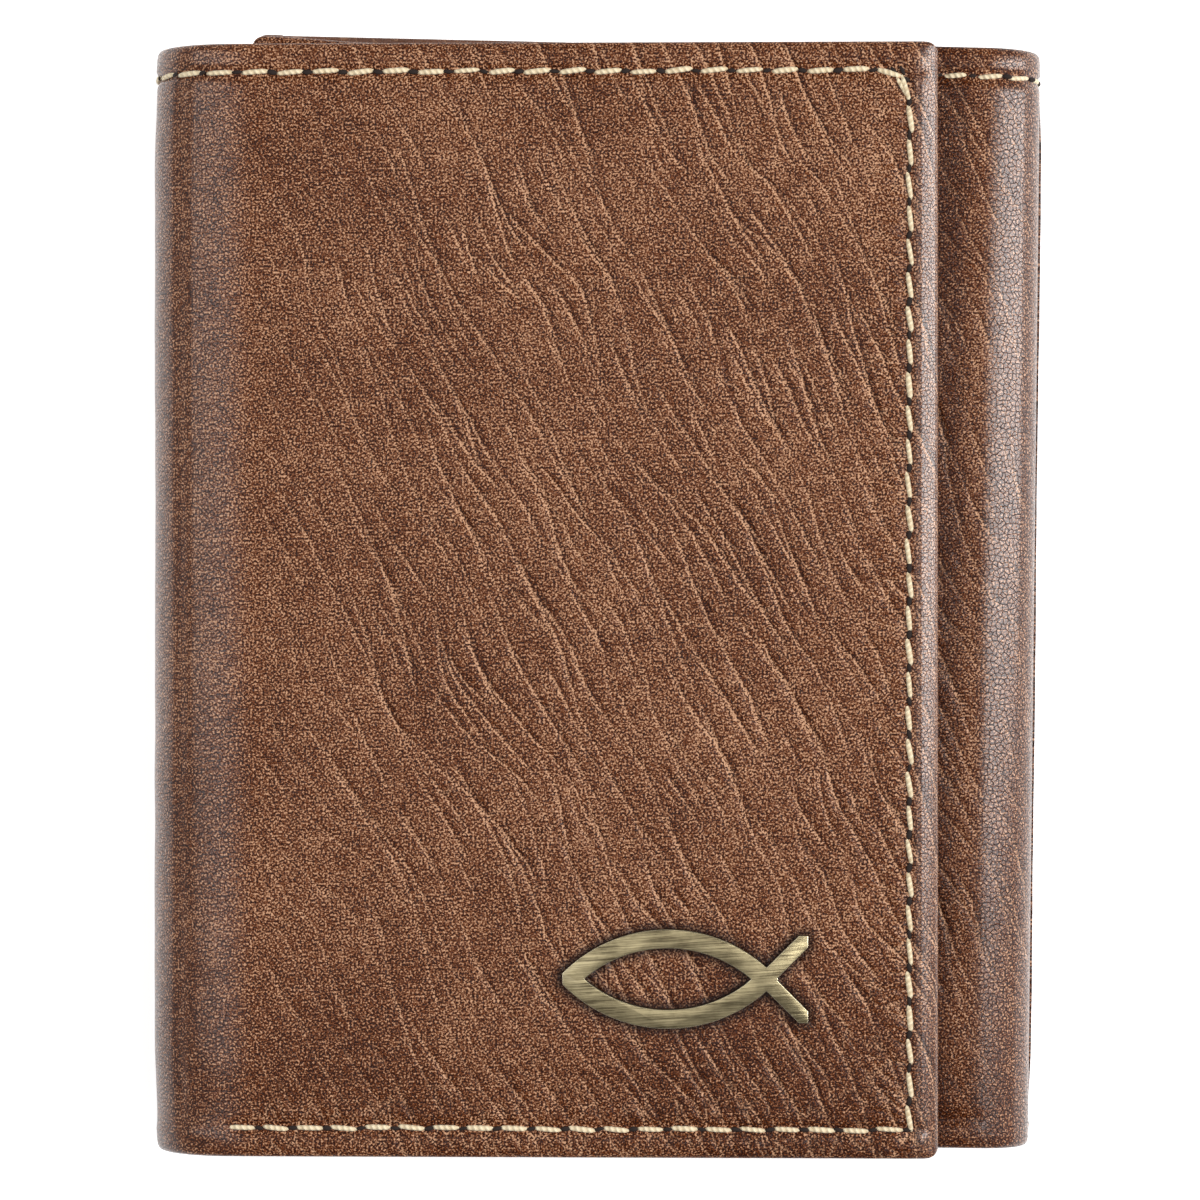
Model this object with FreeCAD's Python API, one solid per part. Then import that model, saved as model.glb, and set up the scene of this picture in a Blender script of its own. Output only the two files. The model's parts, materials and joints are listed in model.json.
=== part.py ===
"""Trifold wallet, closed, lying on its back leaf with the front leaf up.

Millimetres. +X runs to the wallet's right, +Y to the mouth of the bill compartment, +Z out of the front.
The origin is on the outer leather of the back leaf, in the middle of the wallet's outline.

The wallet is one long strip folded twice: front leaf, left fold, back leaf, right fold, inner leaf. The inner
leaf is folded in first, and the front leaf closes over it. Each fold bends at two lines, one near each leaf.
Places on a leaf are (s, y, depth): s runs away from the leaf's fold, depth goes in from the outer leather.
"""

import FreeCAD
import Part
import math
import os

from FreeCAD import Placement, Rotation, Vector

# Outline of the closed wallet
height = 107.2
closed_width = 86.7
front_setback = 10.9      # right fold's extreme to the front leaf's free edge
inner_setback = 8.2       # left fold's extreme to the inner leaf's free edge
free_corner = 1.5         # rounding of the corners at a free edge

# How the leaves lie
front_lift = 1.8          # degrees that the front leaf stands open when closed
inner_lift = 0.3
fold_skew = 0.65          # degrees that the right fold is creased out of square
inner_air = 0.5           # between the back and inner leaves at the right fold
front_air = 0.7           # between the inner and front leaves at the left fold

# Layers, from the outer leather inwards
leather = 0.9
stiffener = 0.5
lining = 0.3
bill_gap = 0.5
bill_wall = 0.8
slot_gap = 0.15
pocket_leather = 0.6
window_film = 0.3
window_leather = 0.7
hem_width = 7.0           # leather turned over at an edge
wall_rim = 3.0            # width over which a bill wall is sewn to the shell
layer_margin = 0.3        # air between a layer's edge and what surrounds it
fold_margin = 1.2         # air between an inner layer and the fold

# Card pockets
pocket_count = 3
pocket_first = 8.0        # fold to the first slot's edge
pocket_step = 11.0
pocket_inset = 3.4        # outline to the pockets' ends
pocket_rim = 2.6

# Window for a card
window_fold_margin = 4.0  # fold to the window's frame
window_edge_margin = 5.5  # free edge to the frame
window_end_margin = 11.0  # top and bottom edges to the frame
window_border = 7.0       # width of the frame
film_overlap = 3.0

# Stitches
stitch_pitch = 3.4
stitch_length = 2.6
stitch_width = 0.5
stitch_inset = 2.8
groove_width = 0.6
groove_depth = 0.35
stitch_sunk = 0.05        # top of a stitch below the leather's surface
corner_clear = 1.4        # between the ends of two rows that meet at a corner
line_clear = 0.3          # bending line to the nearest groove

# Folds
fold_gap = 0.15           # air on each side of a bending line
crease_offset = 0.11      # bending line outside the leather, as a share of the fold's radius
strip_inset = 3.2         # outline to the ends of the strip inside a fold

# Fish-shaped badge
badge_length = 18.7       # nose to the tail's crossing, along the middle of the band
badge_half_height = 3.85
badge_band = 1.84
badge_blunt = 0.5         # worn off the tip of the nose
badge_tail = 4.1
badge_tail_half = 4.2
badge_tail_band = 1.45
badge_thick = 1.2
badge_from_edge = 16.6    # free edge to the tail's crossing
badge_from_bottom = 17.3
post_radius = 0.5
post_clearance = 0.05
washer_radius = 2.4
washer_thick = 0.4
washer_clearance = 0.25

half = height / 2
shell = leather + stiffener + lining
wall_top = shell + bill_gap + bill_wall
pocket_rise = slot_gap + pocket_leather
pockets_top = wall_top + pocket_count * pocket_rise
film_top = wall_top + window_film
window_top = film_top + window_leather
tan_skew = math.tan(math.radians(fold_skew))
skew_run = half * tan_skew

right_radius = pockets_top + inner_air / 2
left_radius = right_radius + (front_air + window_top) / 2
left_x = -closed_width / 2 + left_radius
right_x = closed_width / 2 - right_radius - skew_run
back_length = right_x - left_x
front_run = closed_width - front_setback - left_radius
lift = math.radians(front_lift)
front_length = front_run / math.cos(lift) + left_radius * math.tan(lift)
inner_length = right_x + closed_width / 2 - inner_setback


class Fold:
    """A bent strip of the wallet. Its arc starts at the back leaf, and angles along it are in degrees."""

    def __init__(self, side, x, radius, lift, skew):
        self.side, self.radius, self.bend = side, radius, 180 - lift
        self.place = Placement(Vector(x, 0, 0), Rotation(Vector(0, 0, 1), -skew))
        self.lower, self.upper = self.bend / 4, 3 * self.bend / 4
        self.gap = self.degrees(fold_gap)
        self.clear = self.degrees(fold_gap + line_clear)

    def degrees(self, length):
        return math.degrees(length / self.radius)

    def point(self, angle, radius):
        a = math.radians(angle)
        return Vector(self.side * radius * math.sin(a), 0, self.radius - radius * math.cos(a))

    def bending_line(self, angle):
        """A point of the line, and its direction, about which the wallet opens."""
        place = self.point(angle, self.radius * (1 + crease_offset))
        return self.place.multVec(place), self.place.Rotation.multVec(Vector(0, self.side, 0))

    def band(self, a0, a1, d0, d1, y0, y1):
        """Stretch of the arc between two angles, two depths and two heights."""
        outer, inner = self.radius - d0, self.radius - d1
        middle = (a0 + a1) / 2
        edges = [
            Part.Arc(self.point(a0, outer), self.point(middle, outer), self.point(a1, outer)).toShape(),
            Part.makeLine(self.point(a1, outer), self.point(a1, inner)),
            Part.Arc(self.point(a1, inner), self.point(middle, inner), self.point(a0, inner)).toShape(),
            Part.makeLine(self.point(a0, inner), self.point(a0, outer)),
        ]
        solid = Part.Face(Part.Wire(edges)).extrude(Vector(0, y1 - y0, 0))
        return placed(solid, self.place * Placement(Vector(0, y0, 0), Rotation()))

    def shell(self, a0, a1):
        """Outer leather between two angles, with the leather turned in at its ends."""
        return [
            self.band(a0, a1, 0, leather, -half, half),
            self.band(a0, a1, leather, shell, half - hem_width, half),
            self.band(a0, a1, leather, shell, -half, -half + hem_width),
        ]

    def row(self, a0, a1, y):
        """Stitches round the arc between two angles, and their groove."""
        w, g = stitch_width / 2, groove_width / 2
        runs = spans(a0 / self.degrees(1), a1 / self.degrees(1))
        threads = [
            self.band(self.degrees(a), self.degrees(b), stitch_sunk, groove_depth, y - w, y + w)
            for a, b in runs
        ]
        return threads, self.band(a0, a1, 0, groove_depth, y - g, y + g)


class Leaf:
    """A flat leaf. Side is the way s runs along X, and facing the way the outer leather looks along Z."""

    def __init__(self, side, facing, length, place, slants=(0.0, 0.0), free_end=True):
        self.side, self.facing, self.length, self.place = side, facing, length, place
        self.slants, self.free_end = slants, free_end
        self.start = fold_margin + half * slants[0]
        self.end = length if free_end else length - fold_margin - half * slants[1]

    def box(self, s0, s1, y0, y1, d0, d1, slants=(0.0, 0.0)):
        """Plate in the leaf's own frame. Slants turn its two ends out of square."""
        low, high = sorted((-self.facing * d0, -self.facing * d1))
        corners = ((s0, y0, slants[0]), (s1, y0, slants[1]), (s1, y1, slants[1]), (s0, y1, slants[0]))
        points = [Vector(self.side * (s + y * slant), y, low) for s, y, slant in corners]
        face = Part.Face(Part.makePolygon(points + points[:1]))
        return face.extrude(Vector(0, 0, high - low))

    def plate(self, *sizes):
        return placed(self.box(*sizes), self.place)

    def joined(self, solids, rounded_at=None):
        """One solid of several boxes, with the corners at the distance rounded_at rounded."""
        solid = fused(solids)
        if rounded_at is not None:
            solid = solid.makeFillet(free_corner, [
                edge for edge in solid.Edges
                if all(abs(v.Point.x - self.side * rounded_at) < 1e-6 for v in edge.Vertexes)
                and abs(edge.Vertexes[0].Point.z - edge.Vertexes[-1].Point.z) > 1e-6
            ])
        return placed(solid, self.place)

    def shell(self):
        """Outer leather, with the leather turned in at its top, bottom and free edge."""
        solids = [
            self.box(0, self.length, -half, half, 0, leather, self.slants),
            self.box(0, self.length, half - hem_width, half, leather, shell, self.slants),
            self.box(0, self.length, -half, -half + hem_width, leather, shell, self.slants),
        ]
        if self.free_end:
            solids.append(self.box(self.length - hem_width, self.length, -half, half, leather, shell))
        return self.joined(solids, self.length if self.free_end else None)

    def board_and_cloth(self):
        """Stiffener and lining, inside the hems."""
        edge = half - hem_width - layer_margin
        end = self.length - hem_width - layer_margin if self.free_end else self.end
        board = self.plate(self.start, end, -edge, edge, leather, leather + stiffener)
        return board, self.plate(self.start, end, -edge, edge, leather + stiffener, shell)

    def wall(self):
        """Wall between the bills and the cards, sewn to the shell at the bottom and at the free edge."""
        reach = shell + bill_gap
        solids = [
            self.box(self.start, self.end, -half, half, reach, wall_top),
            self.box(self.start, self.end, -half, -half + wall_rim, shell, reach),
        ]
        if self.free_end:
            solids.append(self.box(self.end - wall_rim, self.end, -half, half, shell, reach))
        return self.joined(solids, self.end if self.free_end else None)

    def row(self, s0, s1, y, depth=0.0):
        """Stitches along s at height y, and their groove, on the outer leather or on an inner layer's top."""
        w, g = stitch_width / 2, groove_width / 2
        top, bottom = sunk(depth)
        threads = [self.plate(a, b, y - w, y + w, top, bottom) for a, b in spans(s0, s1)]
        return threads, self.plate(s0 - g, s1 + g, y - g, y + g, depth, bottom)

    def column(self, s, y0, y1, depth=0.0):
        """Stitches along y at distance s, and their groove."""
        w, g = stitch_width / 2, groove_width / 2
        top, bottom = sunk(depth)
        threads = [self.plate(s - w, s + w, a, b, top, bottom) for a, b in spans(y0, y1)]
        return threads, self.plate(s - g, s + g, y0 - g, y1 + g, depth, bottom)

    def pockets(self):
        """Card pockets, the one nearest the bills first, and the rows of stitches that hold them."""
        end = self.length - pocket_inset
        edge = half - pocket_inset
        row_y, side = edge - pocket_rim / 2, end - pocket_rim / 2
        leaves, rows = [], []
        for i in range(pocket_count):
            start = pocket_first + i * pocket_step
            low = wall_top + i * pocket_rise
            top = low + pocket_rise
            leaves.append(self.joined([
                self.box(start, end, -edge, edge, low + slot_gap, top),
                self.box(start, end, edge - pocket_rim, edge, low, low + slot_gap),
                self.box(start, end, -edge, -edge + pocket_rim, low, low + slot_gap),
                self.box(end - pocket_rim, end, -edge, edge, low, low + slot_gap),
            ]))
            is_last = i == pocket_count - 1
            row_end = side - corner_clear if is_last else start + pocket_step - groove_width
            rows += [self.row(start + groove_width, row_end, y, top) for y in (row_y, -row_y)]
        rows.append(self.column(side, -row_y + corner_clear, row_y - corner_clear, pockets_top))
        return leaves, rows


def sunk(depth):
    """Depths of a stitch's top and bottom: it is sunk in from the outer leather, or from an inner layer."""
    way = -1 if depth else 1
    return depth + way * stitch_sunk, depth + way * groove_depth


def spans(start, end):
    """Evenly spaced stitches that fill the run from start to end, as (from, to)."""
    count = max(1, int((end - start + stitch_pitch - stitch_length) // stitch_pitch))
    first = start + (end - start - (count - 1) * stitch_pitch - stitch_length) / 2
    return [(first + i * stitch_pitch, first + i * stitch_pitch + stitch_length) for i in range(count)]


def placed(shape, place):
    shape = shape.copy()
    shape.transformShape(place.toMatrix())
    return shape


def fused(solids):
    return solids[0].multiFuse(solids[1:]).removeSplitter()


def after(fold, skew):
    """Frame of a leaf that goes on from the end of a fold."""
    start = fold.place.multVec(fold.point(fold.bend, fold.radius))
    tilt = Rotation(Vector(0, 1, 0), fold.side * (180 - fold.bend))
    return Placement(start, fold.place.Rotation * tilt * Rotation(Vector(0, 0, 1), -skew))


left = Fold(-1, left_x, left_radius, front_lift, 0.0)
right = Fold(1, right_x, right_radius, inner_lift, fold_skew)
back = Leaf(1, -1, back_length, Placement(Vector(left_x, 0, 0), Rotation()), (0.0, tan_skew), False)
front = Leaf(1, 1, front_length, after(left, 0.0))
inner = Leaf(-1, 1, inner_length, after(right, fold_skew), (tan_skew, 0.0))
nodes = {}


def add_rows(name, rows):
    """Makes one node of all the stitches in some rows, and gives their grooves."""
    nodes[name] = Part.makeCompound([thread for threads, _ in rows for thread in threads])
    return [groove for _, groove in rows]


def edge_rows(name, leaf, hem_arcs):
    """Rows round the edges of a leaf. The one along its top edge goes on round the folds beside it."""
    top, bottom = half - stitch_inset, -half + stitch_inset
    first = groove_width + half * leaf.slants[0]
    side = leaf.length - stitch_inset
    last = side - corner_clear if leaf.free_end else leaf.length - groove_width - half * leaf.slants[1]
    arcs = [fold.row(a0, a1, top) for fold, a0, a1 in hem_arcs]
    grooves = add_rows(f"{name}_hem_stitching", [leaf.row(first, last, top), *arcs])
    grooves += add_rows(f"{name}_bottom_stitching", [leaf.row(first, last, bottom)])
    if leaf.free_end:
        column = leaf.column(side, bottom + corner_clear, top - corner_clear)
        grooves += add_rows(f"{name}_edge_stitching", [column])
    return grooves


def leaf_shell(name, leaf, shells, hem_arcs):
    """A leaf's outer leather with the half-folds that move with it, its stiffener, lining and bill wall."""
    whole = fused([leaf.shell(), *shells])
    nodes[f"{name}_cover"] = whole.cut(edge_rows(name, leaf, hem_arcs))
    nodes[f"{name}_stiffener"], nodes[f"{name}_lining"] = leaf.board_and_cloth()
    nodes[f"{name}_bill_wall"] = leaf.wall()


def fold_pieces(name, fold):
    """The middle of a fold, between its two bending lines."""
    a0, a1 = fold.lower + fold.gap, fold.upper - fold.gap
    row = fold.row(fold.lower + fold.clear, fold.upper - fold.clear, half - stitch_inset)
    grooves = add_rows(f"{name}_fold_stitching", [row])
    nodes[f"{name}_fold_cover"] = fused(fold.shell(a0, a1)).cut(grooves)
    edge = half - hem_width - layer_margin
    nodes[f"{name}_fold_lining"] = fold.band(a0, a1, leather, leather + lining, -edge, edge)
    strip_end = half - strip_inset
    nodes[f"{name}_fold_strip"] = fold.band(a0, a1, shell + bill_gap, wall_top, -strip_end, strip_end)


def pocket_pieces(name, leaf):
    leaves, rows = leaf.pockets()
    grooves = add_rows(f"{name}_pocket_stitching", rows)
    for i, pocket in enumerate(leaves, 1):
        nodes[f"{name}_card_pocket_{i}"] = pocket.cut(grooves)


def window_pieces():
    """Window for a card on the front leaf's inner side: a clear film in the back of a leather frame."""
    s0, s1 = window_fold_margin, front_length - window_edge_margin
    y1 = half - window_end_margin

    def inset(margin, d0, d1):
        return front.box(s0 + margin, s1 - margin, -y1 + margin, y1 - margin, d0, d1)

    seat = window_border - film_overlap
    body = inset(0, wall_top, window_top).cut([
        inset(seat - layer_margin, wall_top, film_top),
        inset(window_border, film_top, window_top),
    ])
    nodes["id_window_film"] = placed(inset(seat, wall_top, film_top), front.place)
    line = (seat - layer_margin) / 2
    rows = [front.row(s0 + 2 * line, s1 - 2 * line, y, window_top) for y in (line - y1, y1 - line)]
    rows += [front.column(s, 2 * line - y1, y1 - 2 * line, window_top) for s in (s0 + line, s1 - line)]
    nodes["id_window_frame"] = placed(body, front.place).cut(add_rows("id_window_stitching", rows))


def lens(radius, rise):
    """Pointed oval that two circles share, their centres rise above and below its long axis."""
    circles = [Part.makeCircle(radius, Vector(-badge_length / 2, y, 0)) for y in (rise, -rise)]
    upper, lower = (Part.Face(Part.Wire(circle)) for circle in circles)
    return upper.common(lower)


def badge():
    """Fish of two crossing bands, lying on z = 0 with the tail's crossing at the origin."""
    radius = ((badge_length / 2) ** 2 + badge_half_height ** 2) / (2 * badge_half_height)
    rise = radius - badge_half_height
    ring = lens(radius + badge_band / 2, rise).cut(lens(radius - badge_band / 2, rise))
    body = ring.extrude(Vector(0, 0, badge_thick))
    tip = body.BoundBox.XMin + badge_blunt
    slope = math.degrees(math.asin(badge_length / 2 / radius))
    bars = []
    for sign in (1, -1):
        bar = Part.makeBox(2 * badge_tail, badge_tail_band, badge_thick, Vector(0, -badge_tail_band / 2, 0))
        bars.append(placed(bar, Placement(Vector(), Rotation(Vector(0, 0, 1), sign * slope))))
    tail_room = Part.makeBox(
        2 * badge_tail, 2 * badge_tail_half, badge_thick, Vector(-badge_tail, -badge_tail_half, 0))
    body_room = Part.makeBox(badge_tail - tip, height, badge_thick, Vector(tip, -half, 0))
    return fused([body.common(body_room), fused(bars).common(tail_room)])


def badge_pieces():
    """The badge, and the two posts and washers that hold it through the front leather."""
    cross_s, cross_y = front_length - badge_from_edge, -half + badge_from_bottom
    nodes["fish_badge"] = placed(badge(), front.place * Placement(Vector(cross_s, cross_y, 0), Rotation()))
    washer_low = leather + post_clearance
    washer_top = washer_low + washer_thick

    def discs(radius, d0, d1):
        return [
            placed(Part.makeCylinder(radius, d1 - d0, Vector(s, cross_y, -d1)), front.place)
            for s in (cross_s - badge_length, cross_s)
        ]

    nodes["badge_posts"] = Part.makeCompound(discs(post_radius, 0, washer_top))
    washers = Part.makeCompound(discs(washer_radius, washer_low, washer_top))
    nodes["badge_washers"] = washers.cut(discs(post_radius + post_clearance, washer_low, washer_top))
    nodes["front_cover"] = nodes["front_cover"].cut(discs(post_radius + post_clearance, 0, leather))
    board_holes = discs(washer_radius + washer_clearance, leather, leather + stiffener)
    nodes["front_stiffener"] = nodes["front_stiffener"].cut(board_holes)


leaf_shell(
    "back", back,
    left.shell(0, left.lower - left.gap) + right.shell(0, right.lower - right.gap),
    [(fold, 0, fold.lower - fold.clear) for fold in (left, right)])
for leaf_name, leaf, fold in (("front", front, left), ("inner", inner, right)):
    leaf_shell(
        leaf_name, leaf, fold.shell(fold.upper + fold.gap, fold.bend),
        [(fold, fold.upper + fold.clear, fold.bend)])
for fold_name, fold in (("left", left), ("right", right)):
    fold_pieces(fold_name, fold)
pocket_pieces("back", back)
pocket_pieces("inner", inner)
window_pieces()
badge_pieces()

os.makedirs("parts", exist_ok=True)
for name, shape in nodes.items():
    solids = shape.Solids
    if not solids or not shape.isValid():
        raise ValueError(f"{name} is not a valid solid")
    Part.makeCompound(solids).exportStep(f"parts/{name}.step")

for fold_name, fold in (("left", left), ("right", right)):
    for line_name, angle in (("lower", fold.lower), ("upper", fold.upper)):
        place, way = fold.bending_line(angle)
        print(f"{fold_name} {line_name} line", list(place), list(way), f"opens {fold.bend / 2:.3f} degrees")
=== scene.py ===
"""Brown leather trifold wallet, closed, with cream stitching and a fish-shaped badge of aged brass.

The outer leather is cut flat, given its hems, rounded edges and stitch lines, and rolled round the folds.
"""

import json
import math
import random

import bpy
import numpy as np
from mathutils import Matrix, Vector, noise
from mathutils.bvhtree import BVHTree


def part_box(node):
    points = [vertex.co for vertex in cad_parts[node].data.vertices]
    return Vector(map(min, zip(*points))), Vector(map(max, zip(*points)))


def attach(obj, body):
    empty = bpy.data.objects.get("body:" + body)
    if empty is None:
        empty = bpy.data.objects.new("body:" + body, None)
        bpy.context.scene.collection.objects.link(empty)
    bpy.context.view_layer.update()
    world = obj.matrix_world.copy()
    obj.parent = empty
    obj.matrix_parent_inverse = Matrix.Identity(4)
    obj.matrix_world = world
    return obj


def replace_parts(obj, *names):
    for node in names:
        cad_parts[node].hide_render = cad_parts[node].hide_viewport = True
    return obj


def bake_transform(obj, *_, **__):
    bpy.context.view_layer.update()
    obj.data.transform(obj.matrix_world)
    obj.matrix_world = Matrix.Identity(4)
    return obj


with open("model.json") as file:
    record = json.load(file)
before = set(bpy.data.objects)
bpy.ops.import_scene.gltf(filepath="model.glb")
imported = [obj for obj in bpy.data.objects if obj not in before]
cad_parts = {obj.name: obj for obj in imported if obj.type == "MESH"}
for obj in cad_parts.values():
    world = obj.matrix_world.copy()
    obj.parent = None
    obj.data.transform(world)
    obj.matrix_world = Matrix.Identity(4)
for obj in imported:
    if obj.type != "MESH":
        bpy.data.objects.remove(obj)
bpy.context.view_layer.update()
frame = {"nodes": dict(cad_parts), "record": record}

bl_info = {
    "name": "Trifold wallet",
    "version": (1, 0, 0),
    "blender": (4, 5, 0),
    "location": "3D View > Sidebar > Wallet",
    "description": "Leather, threads, badge and stage of a trifold wallet",
    "category": "Add Mesh",
}

MM = 0.001
UV_NAME = "flat"
SHADE_NAME = "shade"
STITCH_LENGTH = 2.85 * MM
STITCH_PITCH = 3.4 * MM
ROW_PITCH = STITCH_PITCH * 0.95  # along the bottom edges
COLUMN_PITCH = 3.2 * MM  # down the free edges
COLUMN_TOP = 46.1 * MM
HOLE_SIZE = (0.5 * MM, 0.24 * MM, 0.1 * MM)
HOLE_OFFSET, HOLE_SINK = 1.68 * MM, 0.02 * MM  # from the middle of the stitch before it
# The front leaf's corner stitches: distance from the free edge and from the top row, heading, depth.
CORNER_STITCHES = (
    (4.7 * MM, 0.25 * MM, (-0.93, -0.37), 0.1 * MM),
    (3.5 * MM, 1.6 * MM, (0.45, 0.89), 0.1 * MM),
    (3.05 * MM, 1.7 * MM, (0.25, 0.97), 0.02 * MM),
)
WALL_ROUNDING, BADGE_ROUNDING = 0.18 * MM, 0.2 * MM
FLOOR_SIZE, FLOOR_DROP = 6.0, 0.0001
EDGE_STEPS = tuple(v * MM for v in (0.0, 0.07, 0.2, 0.42, 0.8, 1.4, 2.0, 2.4, 2.8, 3.2, 3.7))
# Each family's turn in degrees, its spacing in millimetres and its share of smooth leather.
CREASE_FAMILIES = ((-61.0, 2.5, 0.48), (-68.0, 3.4, 0.47), (-54.0, 4.1, 0.5))
# Each lamp's name, place, size and power.
LAMPS = (
    ("soft_left", (-0.4, 0.1, 0.66), (0.5, 1.1), 3.6),
    ("key_right", (0.6, 0.06, 0.52), (0.24, 1.25), 9.6),
)
LAMP_TARGET = Vector((0.0, 0.0, 0.012))
WORLD_STRENGTH = 0.25
CAMERA_HEIGHT, LENS, SENSOR = 0.457, 137.5, 36.0
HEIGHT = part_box("back_cover")[1].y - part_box("back_cover")[0].y


def length(name, default, about):
    """A size that the user can change."""
    return bpy.props.FloatProperty(name=name, description=about, default=default, unit="LENGTH", precision=5)


def colour(name, default, about):
    """A colour that the user can change."""
    return bpy.props.FloatVectorProperty(
        name=name, description=about, default=default, size=3, min=0.0, max=1.0, subtype="COLOR")


class WalletSizes(bpy.types.PropertyGroup):
    """Sizes of the outer leather and the threads."""

    height: length("Height", HEIGHT, "Bottom edge to the bill compartment's mouth")
    left_x: length("Left fold", -0.0355, "Where the back leaf starts to bend on the left")
    left_radius: length("Left radius", 0.00785, "Outer radius of the left fold")
    left_bend: bpy.props.FloatProperty(
        name="Left bend", description="Turn of the left fold", default=math.radians(178.2), unit="ROTATION")
    right_x: length(
        "Right fold", 0.037241885, "Where the back leaf starts to bend on the right, at mid height")
    right_radius: length("Right radius", 0.0055, "Outer radius of the right fold")
    right_bend: bpy.props.FloatProperty(
        name="Right bend", description="Turn of the right fold", default=math.radians(179.7), unit="ROTATION")
    skew: bpy.props.FloatProperty(
        name="Skew", description="Slant of the right fold", default=math.radians(0.65), unit="ROTATION")
    front_length: length("Front leaf", 0.06823, "Left fold to the front leaf's free edge")
    inner_length: length("Inner leaf", 0.07239, "Right fold to the inner leaf's free edge")
    leather: length("Leather", 0.0009, "Thickness of the outer leather")
    shell: length("Shell", 0.0017, "Thickness where the leather is turned in")
    hem: length("Hem", 0.007, "Width of the leather turned in")
    roll: length("Roll", 0.00125, "How far the outer side of a turned edge rolls down")
    corner: length("Corner", 0.0013, "Rounding of the corners at a free edge")
    cell: length("Cell", 0.0005, "Spacing of the leather's mesh")
    stitch_inset: length("Stitch inset", 0.0028, "Edge to a row of stitches")
    thread: length("Thread", 0.00052, "Width of a stitch")


class WalletColours(bpy.types.PropertyGroup):
    """Colours of the leather, the threads and the badge."""

    leather_dark: colour("Dark leather", (0.02, 0.003, 0.0003), "Deep tone of the outer leather")
    leather_mid: colour("Leather", (0.124, 0.0315, 0.006), "Main tone of the outer leather")
    # The light leather tone: creases worn light, and painted glints on creases and pebbles.
    leather_wear_and_glint: colour("Rubbed leather", (0.51, 0.285, 0.165), "Tone where creases are rubbed light")
    inner_leather: colour("Inner leather", (0.13, 0.048, 0.022), "Main tone of the pockets")
    cloth: colour("Lining", (0.06, 0.04, 0.03), "Lining of the bill compartment")
    board: colour("Board", (0.3, 0.22, 0.14), "Stiffening board")
    thread: colour("Thread", (0.78, 0.66, 0.45), "Waxed thread")
    brass_dark: colour("Brass patina", (0.07, 0.055, 0.03), "Dark tone of the badge")
    brass_light: colour("Brass", (0.31, 0.26, 0.15), "Bright tone of the badge")
    # The bright brass tone is a painted highlight for the badge's bevels.
    brass_highlight: colour("Rubbed brass", (0.72, 0.65, 0.47), "Bevels of the badge, where it is rubbed bright")
    film: colour("Film", (0.82, 0.84, 0.84), "Clear film of the card window")
    floor: colour("Floor", (0.9, 0.9, 0.9), "Floor under the wallet")


# Shader fields

class Field:
    """A number or vector that varies over a surface. Arithmetic on it adds nodes to its paint."""

    def __init__(self, paint, socket):
        self.paint, self.socket = paint, socket

    def math(self, operation, *others):
        return self.paint.node(
            "ShaderNodeMath", {"operation": operation}, dict(enumerate((self, *others)))).out("Value")

    def __add__(self, other):
        return self.math("ADD", other)

    def __sub__(self, other):
        return self.math("SUBTRACT", other)

    def __rsub__(self, other):
        return self.paint.node("ShaderNodeMath", {"operation": "SUBTRACT"}, {0: other, 1: self}).out("Value")

    def __mul__(self, other):
        return self.math("MULTIPLY", other)

    def __abs__(self):
        return self.math("ABSOLUTE")

    __radd__ = __add__
    __rmul__ = __mul__

    def ramp(self, low, high):
        """0 below low and 1 above high, or the other way round, smooth between."""
        inputs = {"Value": self, "From Min": low, "From Max": high}
        settings = {"interpolation_type": "SMOOTHSTEP"}
        return self.paint.node("ShaderNodeMapRange", settings, inputs).out("Result")


class Made:
    """A node, which gives its outputs as fields."""

    def __init__(self, paint, node):
        self.paint, self.node = paint, node

    def out(self, name):
        return Field(self.paint, self.node.outputs[name])


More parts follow.
